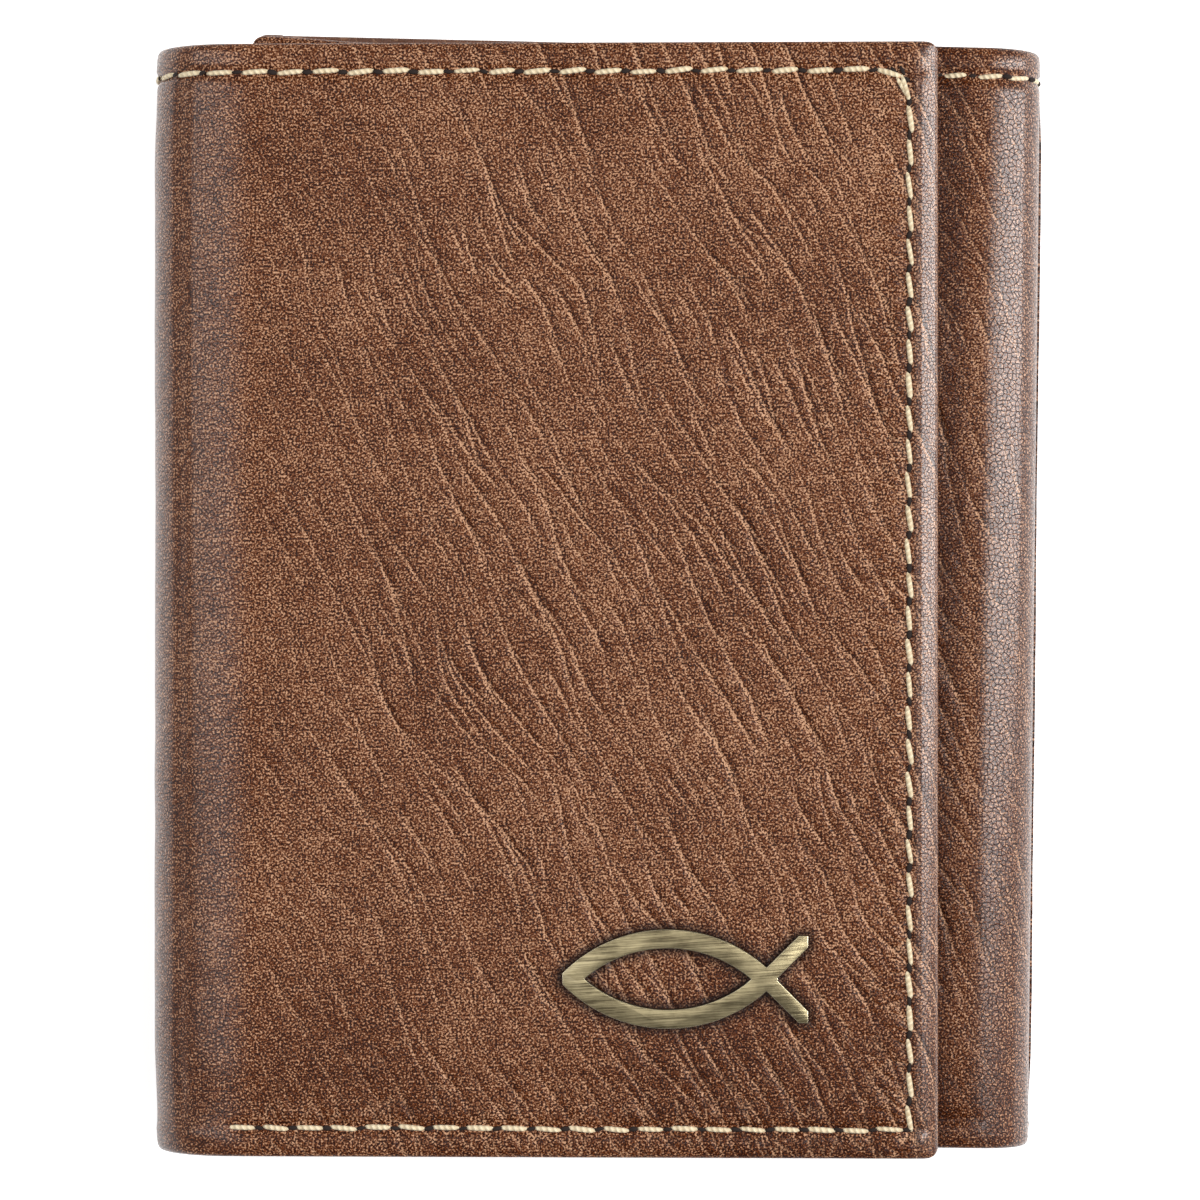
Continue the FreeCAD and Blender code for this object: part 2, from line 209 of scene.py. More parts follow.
class Paint:
    """A material being mixed."""

    def __init__(self, name, **constants):
        self.material = bpy.data.materials.new(name)
        self.material.use_nodes = True
        self.tree = self.material.node_tree
        self.shader = self.tree.nodes["Principled BSDF"]
        self.set(self.shader, constants)

    def set(self, node, inputs):
        for key, value in inputs.items():
            socket = node.inputs[key.replace("_", " ") if isinstance(key, str) else key]
            if isinstance(value, Field):
                self.tree.links.new(value.socket, socket)
            elif socket.type == "RGBA":
                socket.default_value = (*value, 1.0)
            else:
                socket.default_value = value

    def node(self, kind, settings=None, inputs=None):
        made = self.tree.nodes.new(kind)
        for key, value in (settings or {}).items():
            setattr(made, key, value)
        self.set(made, inputs or {})
        return Made(self, made)

    def finish(self, **inputs):
        self.set(self.shader, inputs)
        return self.material

    def millimetres(self, flat=True):
        """Places on the piece in millimetres: on the leather as it was cut flat, or in the wallet's frame."""
        if flat:
            place = self.node("ShaderNodeUVMap", {"uv_map": UV_NAME}).out("UV")
        else:
            place = self.node("ShaderNodeTexCoord").out("Object")
        return self.vector("SCALE", place, scale=1000.0)

    def vector(self, operation, first, second=None, scale=None):
        inputs = {0: first}
        if second is not None:
            inputs[1] = second
        if scale is not None:
            inputs["Scale"] = scale
        node = self.node("ShaderNodeVectorMath", {"operation": operation}, inputs)
        return node.out("Value" if operation in ("DOT_PRODUCT", "LENGTH", "DISTANCE") else "Vector")

    def grained(self, place, angle, along, across):
        """Places stretched along a direction, so that one unit is a feature's length and its width."""
        a = math.radians(angle)
        run = self.vector("DOT_PRODUCT", place, (math.cos(a) / along, math.sin(a) / along, 0.0))
        side = self.vector("DOT_PRODUCT", place, (-math.sin(a) / across, math.cos(a) / across, 0.0))
        return self.node("ShaderNodeCombineXYZ", None, {"X": run, "Y": side}).out("Vector")

    def clouds(self, place, size=1.0, detail=2.0, roughness=0.5):
        inputs = {"Vector": place, "Scale": 1.0 / size, "Detail": detail, "Roughness": roughness}
        return self.node("ShaderNodeTexNoise", None, inputs).out("Fac")

    def wander(self, place, size, amount):
        """Places pushed about by clouds."""
        inputs = {"Vector": place, "Scale": 1.0 / size, "Detail": 2.0}
        push = self.node("ShaderNodeTexNoise", None, inputs).out("Color")
        push = self.vector("SUBTRACT", push, (0.5, 0.5, 0.5))
        return self.vector("ADD", place, self.vector("SCALE", push, scale=amount))

    def pebbles(self, place, size):
        """Small cells: 0 on their borders and 1 inside."""
        settings = {"feature": "DISTANCE_TO_EDGE", "voronoi_dimensions": "2D"}
        node = self.node("ShaderNodeTexVoronoi", settings, {"Vector": place, "Scale": 1.0 / size})
        return node.out("Distance").ramp(0.0, 0.15)

    def creases(self, place, angle, along, across):
        """Long cells that lie along a direction: 0 on the creases between them, about 0.5 at their middles."""
        settings = {"feature": "DISTANCE_TO_EDGE", "voronoi_dimensions": "2D"}
        inputs = {"Vector": self.grained(place, angle, along, across), "Scale": 1.0}
        return self.node("ShaderNodeTexVoronoi", settings, inputs).out("Distance")

    def ribs(self, place, angle, spacing):
        """Distance in millimetres to the nearest of many lines side by side, below 0 on one of its sides."""
        a = math.radians(angle)
        run = self.vector("DOT_PRODUCT", place, (-math.sin(a) / spacing, math.cos(a) / spacing, 0.0))
        return ((run + self.clouds(place, 24.0, 1.0) * 1.8).math("FRACT") - 0.5) * spacing

    def lines(self, clouds, width):
        """Thin lines where clouds pass through their middle value."""
        return abs(clouds - 0.5).ramp(width, 0.0)

    def mix(self, amount, first, second):
        node = self.node("ShaderNodeMix", {"data_type": "RGBA"}, {0: amount, 6: first, 7: second})
        return Field(self, node.node.outputs[2])

    def bump(self, height, depth):
        """Normals for a height, where one unit stands that many millimetres high."""
        return self.node("ShaderNodeBump", None, {"Height": height, "Distance": depth * MM}).out("Normal")


class Zones:
    """Parts of the strip of leather, each a field that is 1 there and 0 elsewhere."""

    def __init__(self, paint, place, sizes):
        along, up = (paint.node("ShaderNodeSeparateXYZ", None, {0: place}).out(axis) for axis in "XY")
        left_end = (sizes.left_radius * sizes.left_bend - sizes.left_x) / MM
        front_end = left_end + sizes.front_length / MM
        right_end = -(sizes.right_radius * sizes.right_bend + sizes.right_x) / MM
        bottom = sizes.height / -2 / MM
        inset = sizes.stitch_inset / MM

        self.front = along.ramp(left_end - 1.0, left_end + 5.0)
        self.far_from_fold = along.ramp(left_end + 2.0, left_end + 30.0)
        self.left_fold = (
            along.ramp(left_end - 14.0, left_end - 9.0) * (1.0 - along.ramp(left_end - 1.0, left_end + 2.5)))
        self.right = along.ramp(right_end + 22.0, right_end + 15.0)
        self.right_fold = self.right * along.ramp(right_end - 1.0, right_end + 1.5)
        # Beside the flap: painted shadow of the front leaf's free edge on the inner leaf.
        self.flap_shadow = (
            along.ramp(right_end - 1.2, right_end - 3.6) * along.ramp(right_end - 14.0, right_end - 8.0))
        self.free_edge = along.ramp(front_end - 2.6, front_end - 1.6)
        self.by_column = (
            along.ramp(front_end - inset - 7.0, front_end - inset - 0.8)
            * along.ramp(front_end - 2.4, front_end - 2.9))
        self.by_row = up.ramp(bottom + 9.0, bottom + inset + 0.8) * self.front
        # Towards the bottom: fewer creases, and painted shade, most near the free edge.
        self.low = up.ramp(-28.0, -52.0)
        self.shaded_low_corner = along.ramp(front_end - 40.0, front_end - 8.0) * self.low


def long_creases(paint, place, soft, strength):
    """Long slanting creases: their lines, worn light with painted glints, the sides darkened with painted
    shade, and the valleys.
    """
    lines, shades, valleys = 0.0, 0.0, 0.0
    for turn, spacing, share in CREASE_FAMILIES:
        gap = paint.ribs(soft, turn, spacing)
        here = paint.clouds(paint.grained(place, turn, 11.0, 3.0), detail=1.0)
        here = here.ramp(share - 0.06, share + 0.08) * strength
        lines = lines + abs(gap + 0.1).ramp(0.2, 0.03) * here
        # Painted shade on one side of each crease.
        shades = shades + gap.ramp(-0.02, 0.12) * gap.ramp(0.75, 0.15) * here
        valleys = valleys + abs(gap).ramp(0.8, 0.0) * here
    return lines, shades, valleys


def outer_leather(colours, sizes):
    """Soft brown leather: fine pebbles, long creases worn light with painted glints, and small ones on the
    left fold; painted shade along creases, round the badge, beside the flap and towards the bottom.
    """
    paint = Paint("outer_leather", Specular_IOR_Level=0.14, Coat_Roughness=0.22)
    place = paint.millimetres()
    zones = Zones(paint, place, sizes)

    patches = paint.clouds(place, 13.0, 2.0).ramp(0.38, 0.6)
    on_front = (0.3 + 0.7 * zones.far_from_fold) * (0.45 + 0.55 * patches) * zones.front
    strength = (on_front + zones.right * (0.2 + 0.3 * patches)) * (1.0 - 0.45 * zones.low)
    soft = paint.wander(paint.wander(place, 15.0, 2.6), 1.8, 0.35)
    lines, shades, valleys = long_creases(paint, place, soft, strength)

    # Short creases: between the long ones, crosswise on the left fold, and where the seams pull.
    short_cells = paint.creases(soft, -66.0, 4.2, 1.3)
    left_cells = paint.creases(paint.wander(place, 3.0, 1.2), 14.0, 2.8, 0.75)
    bent = paint.wander(place, 3.0, 1.0)
    column_cells, row_cells = paint.creases(bent, -14.0, 3.6, 1.3), paint.creases(bent, -80.0, 4.0, 1.5)
    breaks = paint.clouds(place, 2.2, 1.0).ramp(0.42, 0.6)
    short_lines = short_cells.ramp(0.09, 0.0) * strength * breaks
    left_lines = left_cells.ramp(0.14, 0.0) * zones.left_fold
    seam_lines = column_cells.ramp(0.1, 0.0) * zones.by_column + row_cells.ramp(0.1, 0.0) * zones.by_row
    seam_lines = seam_lines * breaks

    # Grain: fine pebbles and specks, and larger pebbles where the right fold is stretched.
    pebbles = paint.pebbles(paint.wander(place, 0.8, 0.4), 0.4)
    fold_pebbles = paint.pebbles(paint.wander(place, 0.9, 0.5), 0.52)
    fold_gaps = (1.0 - fold_pebbles) * zones.right_fold
    specks = paint.clouds(place, 0.2, 1.0, 0.5)
    mottle = paint.clouds(place, 17.0, 2.0) * 0.4 + paint.clouds(place, 1.6, 3.0, 0.6) * 0.6

    # Colour: dark pores, the main tone, and light specks, partly worn light and partly painted glints.
    tone = specks * 0.7 + pebbles * 0.08 + mottle * 0.24 + lines * 0.035
    # Painted shade on one side of each long crease, in the left fold's creases and between the right fold's
    # pebbles.
    tone = tone - shades * 0.04 - left_lines * 0.06 - fold_gaps * 0.12
    # Painted shade: darker towards the bottom and its corner by the free edge, and beside the flap, where its
    # shadow falls.
    tone = tone - zones.low * 0.02 - zones.shaded_low_corner * 0.03 - zones.flap_shadow * 0.052
    base = paint.mix(tone.ramp(0.436, 0.552), colours.leather_dark, colours.leather_mid)
    # Crease and seam lines worn light, with painted glints along them.
    rubbed_and_glinting = (lines + short_lines * 0.5 + seam_lines * 0.7) * specks.ramp(0.42, 0.56) * 0.9
    base = paint.mix(rubbed_and_glinting + tone.ramp(0.54, 0.66) * 0.85, base, colours.leather_wear_and_glint)
    # Painted shadow round the badge.
    badge_shadow = paint.node("ShaderNodeAttribute", {"attribute_name": SHADE_NAME}).out("Fac")
    base = paint.mix(badge_shadow * 0.85, base, tuple(channel * 0.3 for channel in colours.leather_dark))

    height = (
        pebbles * 0.024 - fold_gaps * 0.03 + specks * 0.014 - valleys * 0.1 - lines * 0.02
        + short_cells.ramp(0.0, 0.3) * strength * 0.03 + left_cells.ramp(0.0, 0.4) * zones.left_fold * 0.045
        + column_cells.ramp(0.0, 0.3) * zones.by_column * 0.07
        + row_cells.ramp(0.0, 0.3) * zones.by_row * 0.07
        + paint.clouds(place, 3.4, 2.0) * 0.14)
    gloss = fold_pebbles * zones.right_fold * 0.8 + pebbles * (0.72 * zones.left_fold + zones.free_edge)
    return paint.finish(
        Base_Color=base, Roughness=0.46 - pebbles * 0.12 - 0.05 * zones.right,
        Coat_Weight=0.01 + gloss, Normal=paint.bump(height, 1.0))


def inner_leather(colours):
    """Thinner, plainer leather of the pockets and walls."""
    paint = Paint("inner_leather", Specular_IOR_Level=0.45)
    place = paint.millimetres(flat=False)
    pebbles = paint.pebbles(paint.wander(place, 1.2, 0.6), 0.6)
    creases = paint.lines(paint.clouds(paint.grained(paint.wander(place, 6.0, 2.0), -30.0, 5.0, 1.8)), 0.03)
    specks = paint.clouds(place, 0.35, 3.0, 0.6)
    tone = paint.clouds(place, 9.0, 3.0) * 0.6 + specks * 0.4
    dark = tuple(channel * 0.62 for channel in colours.inner_leather)
    base = paint.mix(tone.ramp(0.32, 0.66), dark, colours.inner_leather)
    base = paint.mix(creases * 0.25, base, colours.leather_wear_and_glint)
    height = pebbles * 0.04 - creases * 0.06 + specks * 0.03
    return paint.finish(Base_Color=base, Roughness=0.55 - tone * 0.12, Normal=paint.bump(height, 1.0))


def lining_cloth(colours):
    """Close twill."""
    paint = Paint("lining_cloth", Sheen_Weight=0.25)
    place = paint.millimetres(flat=False)

    def ribs(angle, pitch):
        a = math.radians(angle)
        wave = paint.vector("DOT_PRODUCT", place, (math.cos(a), math.sin(a), 0.0)) * (2 * math.pi / pitch)
        return wave.math("SINE") * 0.5 + 0.5

    weave = ribs(32.0, 0.5) * 0.7 + ribs(-58.0, 0.33) * 0.3
    fuzz = paint.clouds(place, 0.2, 2.0)
    light = tuple(channel * 1.9 for channel in colours.cloth)
    base = paint.mix(weave * 0.6 + fuzz * 0.4, colours.cloth, light)
    return paint.finish(Base_Color=base, Roughness=0.6 + fuzz * 0.2, Normal=paint.bump(weave, 0.06))


def stiff_board(colours):
    """Pulp board with fibres."""
    paint = Paint("stiffener_board", Roughness=0.9)
    place = paint.millimetres(flat=False)
    fibres = paint.clouds(paint.grained(place, 20.0, 3.0, 0.4), detail=4.0)
    dark = tuple(channel * 0.7 for channel in colours.board)
    return paint.finish(Base_Color=paint.mix(fibres, dark, colours.board), Normal=paint.bump(fibres, 0.05))


def waxed_thread(colours):
    """Two-ply thread: slanting plies with painted shade between them, and a little dirt."""
    paint = Paint("waxed_thread", Sheen_Weight=0.2)
    place = paint.millimetres()
    plies = (paint.vector("DOT_PRODUCT", place, (10.5, 4.2, 0.0)).math("SINE") * 0.5 + 0.5)
    dirt = paint.clouds(paint.millimetres(flat=False), 0.7, 3.0)
    dark = tuple(channel * tint for channel, tint in zip(colours.thread, (0.55, 0.45, 0.32)))
    # Painted shade between the plies, and a little dirt.
    shade = (1.0 - plies) * 0.45 + dirt.ramp(0.5, 0.75) * 0.35
    base = paint.mix(shade, colours.thread, dark)
    return paint.finish(Base_Color=base, Roughness=0.6 + plies * 0.1, Normal=paint.bump(plies, 0.09))


def needle_hole(colours):
    """Shadowed leather inside a needle hole."""
    paint = Paint("needle_hole", Roughness=0.85)
    fuzz = paint.clouds(paint.millimetres(flat=False), 0.15)
    deep = tuple(channel * 0.04 for channel in colours.leather_mid)
    dark = tuple(channel * 0.12 for channel in colours.leather_mid)
    return paint.finish(Base_Color=paint.mix(fuzz, deep, dark))


def aged_brass(colours):
    """Brushed brass that has darkened, with fine lines along its length, painted highlights on its bevels and
    near-black painted shade down its sides.
    """
    paint = Paint("aged_brass", Metallic=1.0)
    place = paint.millimetres(flat=False)
    brush = paint.clouds(paint.grained(place, 4.0, 6.0, 0.09), detail=3.0, roughness=0.6)
    bands = paint.clouds(paint.grained(place, 3.0, 9.0, 0.6), detail=2.0)
    stain = paint.clouds(place, 2.5, 4.0, 0.6)
    tone = (brush * 0.5 + bands * 0.25 + stain * 0.25).ramp(0.38, 0.6)
    base = paint.mix(tone, colours.brass_dark, colours.brass_light)
    facing = paint.node("ShaderNodeTexCoord").out("Normal")
    level = abs(paint.node("ShaderNodeSeparateXYZ", None, {0: facing}).out("Z"))
    shaded_sides, bevel = level.ramp(0.5, 0.15), level.ramp(0.99, 0.9) * level.ramp(0.3, 0.6)
    # Painted highlight on the bevels.
    base = paint.mix(bevel * 0.8, base, colours.brass_highlight)
    # Painted shade, near black, down the badge's sides.
    base = paint.mix(shaded_sides * 0.9, base, tuple(channel * 0.1 for channel in colours.brass_dark))
    height = brush * 0.6 + stain * 0.4
    return paint.finish(
        Base_Color=base, Normal=paint.bump(height, 0.03),
        Roughness=0.36 - tone * 0.1 + brush * 0.08 + shaded_sides * 0.3 - bevel * 0.1)


def clear_film(colours):
    """Clear film, with faint smears."""
    paint = Paint("clear_film", Base_Color=colours.film, Alpha=0.1)
    smears = paint.clouds(paint.grained(paint.millimetres(flat=False), 35.0, 14.0, 3.0), detail=3.0)
    return paint.finish(Roughness=0.06 + smears.ramp(0.4, 0.8) * 0.15, Normal=paint.bump(smears, 0.015))


def floor_paint(colours):
    """Pale floor, a little uneven in its gloss."""
    paint = Paint(
        "floor_paint", Base_Color=colours.floor, Emission_Color=colours.floor, Emission_Strength=0.55)
    return paint.finish(Roughness=0.75 + paint.clouds(paint.millimetres(flat=False), 300.0) * 0.1)


# Shapes

class Fold:
    """One end of the wallet's strip. Places on the strip cut flat are (x, y, depth), in metres."""

    def __init__(self, side, x, radius, bend, skew):
        self.side, self.x, self.radius, self.bend = side, x, radius, bend
        self.cos, self.sin = math.cos(skew), math.sin(skew)

    def rolled(self, x, y, depth):
        """Where a place on the flat strip comes to when the wallet is folded."""
        out = self.side * (x - self.x)
        run = out * self.cos - y * self.sin
        rise = out * self.sin + y * self.cos
        angle = min(max(run / self.radius, 0.0), self.bend)
        past = run - self.radius * angle
        reach = self.radius - depth
        across = reach * math.sin(angle) + past * math.cos(angle)
        up = self.radius - reach * math.cos(angle) + past * math.sin(angle)
        return Vector((
            self.x + self.side * (across * self.cos + rise * self.sin),
            rise * self.cos - across * self.sin,
            up,
        ))

    def turn(self, angle):
        """Point of the arc, in the wallet's frame, at mid height."""
        return self.rolled(self.x + self.side * self.radius * angle / self.cos, 0.0, 0.0)


def folds(sizes):
    left = Fold(-1, sizes.left_x, sizes.left_radius, sizes.left_bend, 0.0)
    right = Fold(1, sizes.right_x, sizes.right_radius, sizes.right_bend, sizes.skew)
    return left, right


def only(obj):
    """Deselects everything else."""
    bpy.ops.object.select_all(action="DESELECT")
    obj.select_set(True)
    bpy.context.view_layer.objects.active = obj
    return obj


def ladder(length, cell, free_start, free_end):
    """Places of a mesh's lines along a length, closer together at a free edge."""
    head = list(EDGE_STEPS) if free_start else [0.0]
    tail = [length - v for v in reversed(EDGE_STEPS)] if free_end else [length]
    count = max(1, round((tail[0] - head[-1]) / cell))
    between = [head[-1] + (tail[0] - head[-1]) * i / count for i in range(1, count)]
    return head + between + tail


def hill(value, centre, width):
    return math.exp(-((value - centre) / width) ** 2)


def smooth(value, low, high):
    t = min(max((value - low) / (high - low), 0.0), 1.0)
    return t * t * (3 - 2 * t)


class Skin:
    """A stretch of the outer leather with its hems, from one fold's middle to a free edge or a seam."""

    bead, puff, waves, groove, dent = 0.08, 0.22, 0.11, 0.3, 0.13  # heights and depths in millimetres
    groove_width = 0.5 * MM
    end_roll_width, side_roll_width, side_roll = 1.9 * MM, 0.8 * MM, 0.5 * MM
    inner_turn, inner_rise = 0.3 * MM, 0.25 * MM  # rounding of the inner side's edges
    hem_step = 0.9 * MM  # width of the step where the hem ends
    wrap = 2.2 * MM  # how far from an edge the grain starts to follow it round

    def __init__(self, sizes, fold, start, end, free_end, shown=1.0):
        self.sizes, self.fold, self.start, self.end = sizes, fold, start, end
        self.free_end, self.shown = free_end, shown
        self.half = sizes.height / 2

    def slant(self, x):
        """How far a line of the mesh leans with the fold: fully round the arc, less towards the free edge."""
        run = self.fold.side * (x - self.fold.x)
        arc = self.fold.radius * self.fold.bend
        if run < 0:
            return smooth(run, -3.5 * MM, 0.0)
        return 1.0 if run < arc else 1.0 - smooth(run, arc, abs(self.end - self.fold.x))

    def edge_distances(self, x, y):
        to_side = self.half - abs(y)
        to_end = abs(self.end - x) if self.free_end else math.inf
        return to_end, to_side

    def corner(self, x, y):
        """Brings the square corners in to rounded ones."""
        radius = self.sizes.corner
        to_end, to_side = self.edge_distances(x, y)
        if to_end >= radius or to_side >= radius:
            return x, y, min(to_end, to_side)
        a, b = 1 - to_end / radius, 1 - to_side / radius
        a, b = a * math.sqrt(1 - b * b / 2), b * math.sqrt(1 - a * a / 2)
        way = math.copysign(1.0, self.end - self.start)
        x = self.end - way * radius * (1 - a)
        y = math.copysign(self.half - radius * (1 - b), y)
        return x, y, radius * (1 - math.hypot(a, b))

    def relief(self, x, y, edge):
        """Height of the leather over its flat cut: the bead along an edge, the stitch line and soft waves."""
        inset = self.sizes.stitch_inset
        run = self.fold.side * (x - self.fold.x)
        arc = self.fold.radius * self.fold.bend
        to_end, to_side = self.edge_distances(x, y)
        flat = smooth(run, arc - 1.0 * MM, arc + 1.5 * MM) + smooth(run, 1.0 * MM, -1.5 * MM)
        near_end, near_side = (
            smooth(distance, inset - 1.6 * MM, inset - 0.5 * MM) for distance in (to_end, to_side))
        row = hill(to_side, inset, self.groove_width) * (1.0 if y > 0 else min(flat, 1.0)) * near_end
        row = max(row, hill(to_end, inset, self.groove_width) * near_side if self.free_end else 0.0)
        inside = smooth(edge, 3.2 * MM, 10.0 * MM)
        waves = noise.noise(Vector((x, y * 0.6, 0.0)) / (11 * MM))
        waves += 0.5 * noise.noise(Vector((x, y, 9.0)) / (5 * MM))
        height = self.bead * hill(edge, 1.9 * MM, 0.5 * MM) - self.groove * row
        height += (self.puff + self.waves * waves) * inside
        if self.fold.side < 0:
            dent = self.dent * hill(run, arc - 0.65 * self.fold.radius, 0.9 * MM)
            height -= dent * smooth(to_side, 0.0, 5 * MM)
        over = smooth(run, 0.0, self.fold.radius) * self.shown
        return (height * over + min(height, 0.0) * (1 - over)) * MM

    def depths(self, x, y, edge):
        """Depth of the outer and the inner surface, the turned edges rolled over, most at a free edge."""
        sizes = self.sizes
        to_end, to_side = self.edge_distances(x, y)
        drop = max(
            roll * (1 - math.sqrt(1 - max(1 - distance / width, 0.0) ** 2))
            for distance, width, roll in (
                (to_end, self.end_roll_width, sizes.roll), (edge, self.side_roll_width, self.side_roll)))
        turn = max(1 - edge / self.inner_turn, 0.0)
        rise = self.inner_rise * (1 - math.sqrt(max(1 - turn * turn, 0.0)))
        past_hem = smooth(edge, sizes.hem - self.hem_step, sizes.hem)
        thick = sizes.shell + (sizes.leather - sizes.shell) * past_hem
        return drop - self.relief(x, y, edge), thick - rise

    def droop(self, x, y):
        """How far the inner leaf's top edge has shrunk down beside its free corner."""
        if self.shown or y < 0:
            return 0.0
        from_corner = self.end - x
        drop = 0.5 + 0.45 * smooth(from_corner, 1 * MM, 12 * MM)
        return drop * MM * smooth(y, self.half - 6 * MM, self.half) * smooth(from_corner, 62 * MM, 40 * MM)

    def seat(self, x, y, heading, depth=0.1 * MM):
        """Centre and axes of a stitch on the leather: along it, across it, and out of the leather."""
        def at(dx, dy, depth):
            a, b = x + dx, y + dy - self.droop(x, y)
            lean = self.slant(a) * b * self.fold.sin / self.fold.cos * self.fold.side
            return self.fold.rolled(a + lean, b, depth)

        step = 0.2 * MM
        over = smooth(self.fold.side * (x - self.fold.x), 0.0, self.fold.radius) * self.shown
        depth += 0.17 * MM * (1 - over)
        centre = at(0.0, 0.0, depth)
        along = (at(heading[0] * step, heading[1] * step, depth) - centre).normalized()
        out = (at(0.0, 0.0, depth - step) - centre).normalized()
        return centre, along, out.cross(along), out

    def make(self, name, material):
        sizes = self.sizes
        span = self.end - self.start
        columns = ladder(abs(span), sizes.cell, False, self.free_end)
        rows = [v - self.half for v in ladder(sizes.height, sizes.cell, True, True)]
        bpy.ops.object.select_all(action="DESELECT")
        bpy.ops.mesh.primitive_grid_add(
            x_subdivisions=len(columns) - 1, y_subdivisions=len(rows) - 1, size=2.0)
        obj = bpy.context.object
        obj.name = obj.data.name = name
        thickness = obj.modifiers.new("thickness", "SOLIDIFY")
        thickness.thickness = 0.5
        thickness.offset = -1.0
        bpy.ops.object.modifier_apply(modifier=thickness.name)
        flat_uv = obj.data.uv_layers.active or obj.data.uv_layers.new()
        flat_uv.name = UV_NAME
        places = []
        for vertex in obj.data.vertices:
            i = round((vertex.co.x + 1) / 2 * (len(columns) - 1))
            j = round((vertex.co.y + 1) / 2 * (len(rows) - 1))
            x, y, edge = self.corner(self.start + math.copysign(columns[i], span), rows[j])
            outer, inner = self.depths(x, y, edge)
            depth = outer if vertex.co.z > -0.25 else inner
            over_end, over_side = (
                depth * max(1 - distance / self.wrap, 0.0) for distance in self.edge_distances(x, y))
            y -= self.droop(x, y)
            x += self.slant(x) * y * self.fold.sin / self.fold.cos * self.fold.side
            places.append((-x - math.copysign(over_end, span), y + math.copysign(over_side, y)))
            vertex.co = self.fold.rolled(x, y, depth)
        for loop in obj.data.loops:
            flat_uv.data[loop.index].uv = places[loop.vertex_index]
        only(obj)
        bpy.ops.object.mode_set(mode="EDIT")
        bpy.ops.mesh.select_all(action="SELECT")
        bpy.ops.mesh.normals_make_consistent(inside=False)
        bpy.ops.object.mode_set(mode="OBJECT")
        bpy.ops.object.shade_smooth_by_angle(angle=math.radians(50))
        obj.data.materials.append(material)
        return obj


def skins(sizes):
    """The four stretches of outer leather, by name, with the bodies each one bends between."""
    left, right = folds(sizes)
    left_mid = left.x - left.radius * left.bend / 2
    right_mid = right.x + right.radius * right.bend / 2
    front_end = left.x - left.radius * left.bend - sizes.front_length
    inner_end = right.x + right.radius * right.bend + sizes.inner_length
    seam = right.x - 4 * MM
    return {
        "front_leather": (Skin(sizes, left, left_mid, front_end, True), "left_fold", "front_leaf"),
        "back_leather": (Skin(sizes, left, left_mid, seam, False), "back_leaf", "left_fold"),
        "right_fold_leather": (Skin(sizes, right, right_mid, seam, False), "back_leaf", "right_fold"),
        "inner_leather_outside": (
            Skin(sizes, right, right_mid, inner_end, True, 0.0), "right_fold", "inner_leaf"),
    }


def shade_round(obj, node):
    """Notes how near the leather is to a piece that presses on it, for the painted shadow round that piece."""
    piece = frame["nodes"][node].data
    tree = BVHTree.FromPolygons([v.co for v in piece.vertices], [p.vertices for p in piece.polygons])
    low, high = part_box(node)
    level = (low.z + high.z) / 2
    shade = obj.data.attributes.new(SHADE_NAME, "FLOAT", "POINT")
    for vertex, value in zip(obj.data.vertices, shade.data):
        x, y, z = vertex.co
        near = low.x - 2 * MM < x < high.x + 2 * MM and low.y - 2 * MM < y < high.y + 2 * MM
        if near and z > low.z - 1.5 * MM:
            value.value = hill(tree.find_nearest(Vector((x, y, level)))[3], 0.0, 0.62 * MM)


def bend_with(obj, fold, first, second):
    """Bakes a piece's transform into its mesh; the turns of the fold's half between the two bodies are worked
    out and passed on, but not used.
    """
    half_turn = fold.bend / 2
    stops = (0.0, half_turn) if first == "back_leaf" else (half_turn, fold.bend)
    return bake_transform(obj, first, second, fold.turn(stops[0]), fold.turn(stops[1]))


def islands(node):
    """The separate solids of a CAD node, each as an array of its corners."""
    mesh = frame["nodes"][node].data
    keys, owner = {}, {}

    def root(key):
        while owner[key] != key:
            key = owner[key]
        return key

    for polygon in mesh.polygons:
        corners = []
        for index in polygon.vertices:
            key = tuple(round(c * 1e7) for c in mesh.vertices[index].co)
            keys.setdefault(key, mesh.vertices[index].co)
            owner.setdefault(key, key)
            corners.append(key)
        for key in corners[1:]:
            owner[root(key)] = root(corners[0])
    groups = {}
    for key, co in keys.items():
        groups.setdefault(root(key), []).append(co)
    return [np.array(group) for _, group in sorted(groups.items())]


def stitch_frames(node, way):
    """Centre and axes of each of a CAD node's stitches, for a flat leaf that faces up or down."""
    frames = []
    for corners in islands(node):
        centre = corners.mean(axis=0)
        along = Vector(np.linalg.svd(corners - centre)[2][0])
        if along.x + along.y < 0:
            along.negate()
        out = Vector((0.0, 0.0, way))
        frames.append((Vector(centre), along, out.cross(along), out))
    return frames


def stitch_template(width, length):
    """One stitch lying along X, plump in the middle, with its ends dipping into their needle holes."""
    bpy.ops.object.select_all(action="DESELECT")
    bpy.ops.mesh.primitive_uv_sphere_add(segments=8, ring_count=8, radius=1.0, rotation=(0, math.pi / 2, 0))
    obj = bpy.context.object
    bpy.ops.object.transform_apply(rotation=True)
    uv = obj.data.uv_layers.active
    uv.name = UV_NAME
    for vertex in obj.data.vertices:
        x, y, z = vertex.co
        ring = math.sqrt(max(1 - x * x, 1e-9))
        plump = (1 - abs(x) ** 4) ** 0.5 / ring if abs(x) < 0.999 else 0.0
        vertex.co = (
            x * length / 2,
            y * plump * width / 2,
            z * plump * width * 0.42 - 0.5 * width * abs(x) ** 3,
        )
    for loop in obj.data.loops:
        co = obj.data.vertices[loop.vertex_index].co
        uv.data[loop.index].uv = (co.x, co.y)
    bpy.ops.object.shade_smooth()
    return obj


